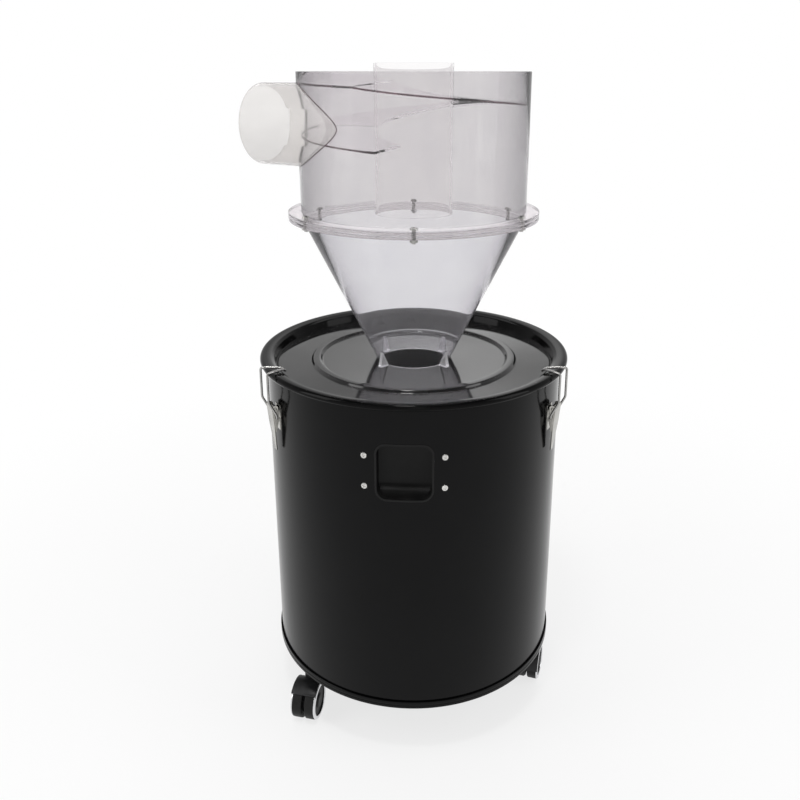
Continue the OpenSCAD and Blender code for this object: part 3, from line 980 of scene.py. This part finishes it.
@dataclass
class Cyclone(Assembly):
    """The clear cone, flanges, cylinder, tubes and spiral roof."""

    wall: float = 3.0
    tube_r: float = 50.0
    gap: float = 0.08
    inlet_azimuth: float = -30.0
    inlet_inset: float = 51.0
    inlet_reach: float = 162.0
    inlet_cut: tuple[float, float] = (24.0, 170.0)
    ramp_t: float = 3.0
    roof_start: float = -105.0
    level_span: float = 75.0
    level_fall: float = 4.6
    fall_span: float = 372.0
    fall_per_turn: float = 64.0
    sag: float = 4.3
    sag_turn: float = 25.0
    # Reaches of the roof's outer edge that get the painted shade strip, and the strip's width.
    first_shade_reach: float = 207.0
    last_shade_reach: float = 96.0
    shade_strip_w: float = 0.42
    bolt: PanScrew = PanScrew(4.5, 3.2, 5.0, 16.0)
    bolt_circle_r: float = 151.8
    steps: int = 192
    foot: float = 0.0
    top: float = 0.0
    r: float = 0.0

    def build(self) -> None:
        """Builds and dresses the cyclone."""
        self.foot, self.top, self.r = extent(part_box("cyclone_wall"))
        self.cone()
        self.flanges()
        self.cylinder()
        self.tubes()
        self.roof()
        self.dress_node("roof_end_plate", CLEAR_SHEET)
        # The gussets get the finish with a painted highlight.
        self.dress_node("cone_gussets", CLEAR_GUSSET_PAINTED_HIGHLIGHT)
        self.fixings()

    def cone(self) -> None:
        """The cone, open at both ends."""
        foot, top, r1 = extent(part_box("cone"))
        z0, z1 = foot + 0.1, top - self.gap
        outline = [(self.tube_r - self.wall, z0), (self.tube_r, z0), (r1, z1), (r1 - self.wall, z1)]
        piece = Bench.turned(softened(outline, 0.4, 2), self.steps)
        self.place(piece, "clear_cone", CLEAR_CONE, "cone")

    def flanges(self) -> None:
        """The two flange rings."""
        for name, node in (("flange_under", "lower_flange"), ("flange_over", "upper_flange")):
            z0, z1, r = extent(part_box(node))
            piece = self.tube(self.r - self.wall - 1, r, z0 + self.gap, z1 - self.gap, 0.5)
            self.place(piece, name, CLEAR_RING, node)

    @staticmethod
    def tube(inner: float, outer: float, foot: float, top: float, soft: float,
             steps: int = 192) -> Piece:
        """A plain ring or tube about the axis.

        Args:
            inner: its inner radius.
            outer: its outer radius.
            foot: the height of its lower end.
            top: the height of its upper end.
            soft: how far its corners are cut back.
            steps: segments round the axis.

        Returns:
            The tube.
        """
        outline = [(inner, foot), (outer, foot), (outer, top), (inner, top)]
        return Bench.turned(softened(outline, soft, 2), steps)

    def inlet_axis_z(self) -> float:
        """The height of the inlet's axis, in metres."""
        low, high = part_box("inlet_tube")
        return (low.z + high.z) / 2

    def inlet_bar(self, radius: float, start: float, end: float) -> Piece:
        """A solid bar along the inlet's axis.

        Args:
            radius: the bar's radius.
            start: distance of its near end from the tangent point.
            end: distance of its far end.

        Returns:
            The bar.
        """
        centre = around(self.inlet_azimuth, (self.r - self.inlet_inset) * MM,
                        self.inlet_axis_z(), (start + end) / 2 * MM)
        Bench.rest()
        bpy.ops.mesh.primitive_cylinder_add(
            vertices=128, radius=radius * MM, depth=(end - start) * MM, location=centre,
            rotation=(0, math.radians(-90), math.radians(self.inlet_azimuth)))
        return bpy.context.object

    def cylinder(self) -> None:
        """The wall of the spin chamber with the inlet's opening."""
        piece = self.tube(self.r - self.wall, self.r, self.foot + self.gap, self.top, 0.5)
        Bench.cut(piece, self.inlet_bar(self.tube_r - self.wall, *self.inlet_cut))
        self.place(piece, "clear_cylinder", CLEAR, "cyclone_wall")

    def tubes(self) -> None:
        """The outlet tube down the middle and the inlet tube at a tangent."""
        z0, z1, _ = extent(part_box("outlet_tube"))
        r, ri = self.tube_r, self.tube_r - self.wall
        piece = self.tube(ri, r, z0, z1, 0.6, 128)
        self.place(piece, "outlet_pipe", CLEAR_OUTLET, "outlet_tube")
        pipe = self.inlet_bar(r, 0, self.inlet_reach)
        with Bench.editing(pipe):
            Bench.choose(pipe, lambda c, n: abs(n.z) < 0.1 and c.x < -0.15, "FACE")
            bpy.ops.mesh.bevel(offset=0.8 * MM, segments=3)
        Bench.cut(pipe, self.inlet_bar(ri, -5, self.inlet_reach + 5))
        Bench.rest()
        bpy.ops.mesh.primitive_cylinder_add(
            vertices=self.steps, radius=(self.r + self.gap) * MM, depth=0.3,
            location=(0, 0, (z0 + z1) / 2 * MM))
        Bench.cut(pipe, bpy.context.object)
        self.place(pipe, "inlet_pipe", CLEAR_INLET, "inlet_tube")
        self.bead()

    def bead(self) -> None:
        """The thin line of cement where the inlet tube meets the cylinder."""
        axis_z = self.inlet_axis_z()
        reach, radius = self.r + 0.1, self.tube_r + 0.1
        path = []
        for k in range(96):
            phi = math.radians(k * 3.75)
            inset = self.r - self.inlet_inset + radius * math.cos(phi)
            along = math.sqrt(max(reach ** 2 - inset ** 2, 0.0))
            path.append(around(self.inlet_azimuth, inset * MM, axis_z + radius * math.sin(phi) * MM,
                               along * MM))
        piece = Bench.wire("inlet_bead_line", path, 0.55, closed=True)
        self.place(piece, "inlet_bead", CEMENT_AND_EDGE_SHADE, angle=40)

    def fallen(self, turned: float) -> float:
        """How far the roof has fallen.

        Args:
            turned: degrees from the roof's start.

        Returns:
            The fall in millimetres.
        """
        if turned <= self.level_span:
            return self.level_fall * turned / self.level_span
        past = turned - self.level_span
        sagged = self.sag * (1 - math.exp(-past / self.sag_turn))
        return self.level_fall + self.fall_per_turn * past / 360 + sagged

    def ribbon(self, inner: float, outer: float, top: float, start: float, end: float) -> Piece:
        """A sheet with no thickness that follows the roof round the axis.

        Args:
            inner: radius of its inner edge.
            outer: radius of its outer edge.
            top: height of the roof's start.
            start: degrees from the roof's start where it begins.
            end: degrees from the roof's start where it ends.

        Returns:
            The ribbon.
        """
        span = end - start
        count = int(span / 1.5)
        piece = Bench.traced([Vector((inner, 0, 0)) * MM, Vector((outer, 0, 0)) * MM])
        Bench.modify(piece, "SCREW", angle=math.radians(span), screw_offset=-count * MM,
                     steps=count, render_steps=count, axis="Z", use_merge_vertices=False)
        for vertex in piece.data.vertices:
            done = -vertex.co.z / MM / count
            vertex.co.z = (top - self.fallen(start + done * span)) * MM
        piece.rotation_euler = (0, 0, math.radians(self.roof_start + start - 90))
        Bench.settle(piece)
        return piece

    def thicken(self, ribbon: Piece, thickness: float) -> None:
        """Gives a ribbon its thickness."""
        Bench.modify(ribbon, "SOLIDIFY", thickness=thickness * MM, offset=0.0)
        Bench.clean(ribbon, 0.002 * MM)

    def roof(self) -> None:
        """The roof: nearly level over the inlet, then a turn of spiral, with a dark strip of
        painted shade along its outer edge where that edge shows dark.
        """
        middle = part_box("spiral_roof")[1].z / MM - self.ramp_t / 2
        inner, outer = self.tube_r + 0.3, self.r - self.wall - 0.3
        whole = self.level_span + self.fall_span
        sheet = self.ribbon(inner, outer - 0.5, middle, 0.0, whole)
        self.thicken(sheet, self.ramp_t - 0.1)
        self.place(sheet, "spiral_sheet", CLEAR_SHEET, "spiral_roof", angle=30)
        # Painted shade: a thin dark strip on the roof's outer edge, only over the two reaches where
        # that edge shows dark.
        reaches = ((0.0, self.first_shade_reach), (whole - self.last_shade_reach, whole))
        edge = Bench.joined([self.ribbon(outer - self.shade_strip_w, outer, middle, *reach)
                             for reach in reaches])
        self.thicken(edge, self.ramp_t * 0.62)
        self.place(edge, "spiral_painted_edge_shade", CEMENT_AND_EDGE_SHADE, angle=30)

    def fixings(self) -> None:
        """The flange's bolts with crossed recesses, and their nuts."""
        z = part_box("upper_flange")[1].z
        bolts = self.bolt.placed([(around(a, self.bolt_circle_r * MM, z), UP, a * 1.7)
                                  for a in range(0, 360, 60)])
        self.place(bolts, "flange_bolt_set", WIRE, "flange_bolts", angle=40)
        self.dress_node("flange_nuts", WIRE)


@dataclass
class Handle(Assembly):
    """The recessed pull and its four screws."""

    azimuth: float = -3.3
    screw: PanScrew = PanScrew(4.0, 2.2, 3.0, 3.0)
    screw_w: float = 96.0
    screw_h: float = 40.0
    seat_r: float = 198.0

    def build(self) -> None:
        """Builds and dresses the pull."""
        piece = Bench.from_node(self.frame["nodes"]["handle_shell"], 0.9, 3)
        self.place(piece, "recessed_pull", PULL_BLACK, "handle_shell", angle=35)
        low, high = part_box("handle_shell")
        middle = (low.z + high.z) / 2
        spread = math.degrees(math.asin(self.screw_w / 2 / self.seat_r))
        seats = []
        for s in (-1, 1):
            for h in (-1, 1):
                a = self.azimuth + s * spread
                seat = around(a, self.seat_r * MM, middle + h * self.screw_h / 2 * MM)
                seats.append((seat, around(a, 1, 0), 20 + 33 * s + 21 * h))
        screws = self.screw.placed(seats)
        self.place(screws, "pull_screw_set", ZINC, "handle_screws", angle=40)


@dataclass
class Latch(Assembly):
    """A draw latch: wall plate, lever and wire bail."""

    side: Side
    azimuth: float
    wire: float = 3.0
    half_w: float = 12.5
    pin: float = 4.4
    pin_r: float = 205.1
    pin_z: float = 449.0
    leg_r: float = 215.0
    over_z: float = 511.5
    hook: tuple[float, float] = (186.0, 506.4)
    bend: float = 2.4

    def build(self) -> None:
        """Builds and dresses the latch."""
        name = f"latch_{self.side.value}"
        for part in ("base", "lever"):
            node = f"{name}_{part}"
            piece = Bench.from_node(self.frame["nodes"][node], 0.25, 2)
            body = HOUSING if part == "base" else node
            self.place(piece, f"{node}_pressing", PRESSED_STEEL, node, body=body, angle=35)
        self.bail(name)

    def bail(self, name: str) -> None:
        """The wire bail: a smooth bent wire over the rim.

        Args:
            name: the latch's name in the frame.
        """
        half, r, z, over = self.half_w, self.pin_r, self.pin_z, self.over_z
        leg = [(half - self.pin, r, z), (half, r, z), (half, r + 0.6, z + 5),
               (half, self.leg_r, z + 24), (half, self.leg_r, over),
               (half - 2, 207.0, over + 0.5), (3.0, 190.5, over - 1)]
        points = [*leg, (0.0, *self.hook), *((-x, out, up) for x, out, up in reversed(leg))]
        path = [around(self.azimuth, out * MM, up * MM, x * MM) for x, out, up in points]
        rounded = [path[0]]
        for before, here, after in zip(path, path[1:], path[2:]):
            rounded += corner(before, here, after, self.bend * MM, 5)
        piece = Bench.wire(f"{name}_line", [*rounded, path[-1]], self.wire / 2)
        body = f"{name}_bail"
        self.place(piece, f"{body}_wire", WIRE, body, body=body, angle=40)


@dataclass
class Castor(Assembly):
    """A twin-wheel castor: stem, housing and two wheels."""

    side: Side
    azimuth: float
    heading: float
    inner_side: int
    stem_at: float = 176.0
    trail: float = 20.0
    wheel_r: float = 25.5
    wheel_w: float = 16.0
    wheel_gap: float = 3.6

    def build(self) -> None:
        """Builds and dresses the castor."""
        name = f"castor_{self.side.value}"
        self.dress_node(f"{name}_stem", ZINC)
        body = f"{name}_housing"
        piece = Bench.from_node(self.frame["nodes"][body], 0.7, 3)
        self.place(piece, f"{name}_hood", SATIN_PLASTIC, body, body=body, angle=35)
        for label, side in (("inner", self.inner_side), ("outer", -self.inner_side)):
            self.wheel(f"{name}_{label}_wheel", side)

    @staticmethod
    @cache
    def wheel_patterns(r: float, w: float) -> tuple[bpy.types.Mesh, bpy.types.Mesh]:
        """A wheel's barrel and ring, modelled once for all the castors.

        Args:
            r: the wheel's radius.
            w: the wheel's width.

        Returns:
            The two, turned about Z with the gap between the wheels at height 0.
        """
        barrel = [(CORE_R, w - 1.8), (4.3, w - 1.8), (4.3, 3.2), (17.8, 3.2), (18.2, 0.3),
                  (r - 0.9, 0.3), (r, 1.4), (r, w - 3.4), (r - 0.4, w - 1.8), (r - 1.4, w - 0.9),
                  (r - 4.6, w - 0.9), (r - 5.2, w - 2.4), (10.2, w - 2.6), (9.2, w - 1.0),
                  (7.6, w - 0.3), (CORE_R, w - 0.1)]
        ring = [(r - 5.2, w - 1.6), (r - 0.5, w - 2.6), (r - 0.15, w - 2.0), (r - 0.8, w - 0.6),
                (r - 1.9, w), (r - 4.4, w), (r - 5.2, w - 0.6)]
        return (Bench.pattern(Bench.turned(softened(barrel, 0.7, 2), 96)),
                Bench.pattern(Bench.turned(softened(ring, 0.5, 2), 96)))

    def wheel(self, node: str, side: int) -> None:
        """One wheel: a barrel with a dished face and hub cap, and the bright ring on its face.

        Args:
            node: the frame node that it stands for.
            side: which side of the housing it is on, 1 or -1.
        """
        barrel, ring = self.wheel_patterns(self.wheel_r, self.wheel_w)
        stem = Matrix.Translation(around(self.azimuth, self.stem_at * MM, 0))
        turn = Matrix.Rotation(math.radians(self.heading), 4, "Z")
        axle = Vector((side * self.wheel_gap / 2, self.trail, self.wheel_r)) * MM
        tip = Matrix.Rotation(math.radians(90 * side), 4, "Y")
        seat = stem @ turn @ Matrix.Translation(axle) @ tip
        for mesh, label, finish, stands in ((barrel, "roller", TREAD, [node]),
                                            (ring, "ring", POLISHED, [])):
            self.place(Bench.copied(mesh, seat), node.replace("wheel", label), finish, *stands,
                       body=node, angle=35)


@dataclass(frozen=True)
class Lamp:
    """A soft rectangular lamp: places in metres, power in watts."""

    name: str
    place: Point
    aim: Point
    size: tuple[float, float]
    power: float

    def build(self) -> None:
        """Adds the lamp to the scene."""
        data = bpy.data.lights.new(self.name, "AREA")
        data.shape = "RECTANGLE"
        data.size, data.size_y = self.size
        data.energy = self.power
        lamp = Bench.added(self.name, data)
        lamp.location = self.place
        facing = Vector(self.aim) - Vector(self.place)
        lamp.rotation_euler = facing.to_track_quat("-Z", "Y").to_euler()


@dataclass
class Studio:
    """The floor, world, lamps and camera."""

    lens: float = 36.93
    shift: tuple[float, float] = (-0.0172, -0.09)
    stand: Point = (0, -1.0695, 0.871)
    tilt: float = 17.42
    bounces: int = 24
    soft_light: float = 0.55
    panel_x: float = 0.045
    lamps: tuple[Lamp, ...] = (
        Lamp("left_box", (-1.9, -0.7, 1.3), (0, 0, 0.5), (0.9, 1.8), 15.0),
        Lamp("right_box", (1.9, -0.6, 1.3), (0, 0, 0.5), (0.9, 1.8), 13.0),
        Lamp("high_back", (0.0, 1.2, 2.6), (0, 0, 0.6), (1.8, 1.2), 12.0),
        Lamp("key", (-0.15, -0.75, 2.3), (0, 0, 0.5), (0.3, 0.2), 10.0),
        Lamp("overhead", (0.0, -0.3, 2.8), (0, 0, 0.5), (1.6, 1.6), 8.0))

    def build(self) -> None:
        """Sets up everything that isn't the object."""
        self.floor()
        self.world()
        for lamp in self.lamps:
            lamp.build()
        self.camera()
        bpy.context.scene.view_settings.view_transform = "Standard"
        cycles = bpy.context.scene.cycles
        cycles.max_bounces = self.bounces
        cycles.transmission_bounces = self.bounces
        cycles.transparent_max_bounces = self.bounces

    def seen(self, board: Board) -> Socket:
        """A mask that is 1 for what the eye sees straight or through clear plastic."""
        rays = board.add("LightPath").outputs
        return board.maths("MAXIMUM", rays["Is Camera Ray"], rays["Is Transmission Ray"])

    def floor(self) -> None:
        """A plain pale floor that keeps the object's shadow."""
        Bench.rest()
        bpy.ops.mesh.primitive_plane_add(size=12, location=(0, 0, 0))
        ground = bpy.context.object
        ground.name = "floor"
        material = bpy.data.materials.new("pale_floor")
        material.use_nodes = True
        board = Board(material.node_tree)
        matte = board.add("BsdfDiffuse", {"Color": (0.8, 0.8, 0.8, 1)})
        glow = board.add("Emission", {"Color": (1, 1, 1, 1), "Strength": 1.0})
        glossy = board.add("LightPath").outputs["Is Glossy Ray"]
        white = board.maths("MAXIMUM", self.seen(board), glossy)
        away = board.add("VectorMath", {0: board.place()}, operation="LENGTH").outputs["Value"]
        plain = board.ranged(away, 0.3, 1.3, 0.74, 1.0, soft=True)
        share = board.maths("MULTIPLY", white, plain)
        mix = board.add("MixShader", {0: share, 1: matte.outputs[0], 2: glow.outputs[0]})
        board.add("OutputMaterial", {0: mix.outputs[0]})
        ground.data.materials.append(material)

    def world(self) -> None:
        """A white surround for the eye, a plainer one for light, and soft panels for gloss."""
        world = bpy.data.worlds.new("surround")
        bpy.context.scene.world = world
        world.use_nodes = True
        board = Board(world.node_tree)
        way = board.add("TexCoord").outputs["Generated"]
        axes = board.add("SeparateXYZ", {0: way}).outputs
        ceiling = board.ranged(axes["Z"], 0.42, 0.85, 0.9, 0.12, soft=True)
        aside = board.maths("ABSOLUTE", board.maths("SUBTRACT", axes["X"], self.panel_x))
        panel = board.ranged(aside, 0.02, 0.16, 1.55, 0.76, soft=True)
        walls = board.maths("MULTIPLY", ceiling, panel)
        glossy = board.add("LightPath").outputs["Is Glossy Ray"]
        gloss = board.add("Mix", {0: glossy, 2: self.soft_light, 3: walls}).outputs[0]
        level = board.add("Mix", {0: self.seen(board), 2: gloss, 3: 1.0}).outputs[0]
        white = board.add("Background", {"Color": (1, 1, 1, 1), "Strength": level})
        board.add("OutputWorld", {0: white.outputs[0]})

    def camera(self) -> None:
        """The camera in front of the handle, looking a little down."""
        data = bpy.data.cameras.new("view")
        data.sensor_width = 36.0
        data.lens = self.lens
        data.shift_x, data.shift_y = self.shift
        camera = Bench.added("view", data)
        camera.location = self.stand
        camera.rotation_euler = (math.radians(90 - self.tilt), 0, 0)
        bpy.context.scene.camera = camera


def main(frame: dict) -> None:
    """Builds the sub-assemblies in order and sets the scene.

    Args:
        frame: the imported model, as loaded.
    """
    logging.basicConfig(level=logging.INFO, format="%(message)s")
    Bench.rest()
    parts: list[Assembly] = [
        Drum(frame), Lid(frame), Cyclone(frame), Handle(frame),
        Latch(frame, Side.LEFT, -61.0), Latch(frame, Side.RIGHT, 61.0),
        Castor(frame, Side.LEFT, -55.0, 167.0, -1), Castor(frame, Side.RIGHT, 71.0, -18.0, -1),
        Castor(frame, Side.BACK, 188.0, 230.0, 1)]
    for part in parts:
        part.build()
    Studio().build()
    Bench.rest()


if __name__ == "__main__":
    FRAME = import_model()
    main(FRAME)
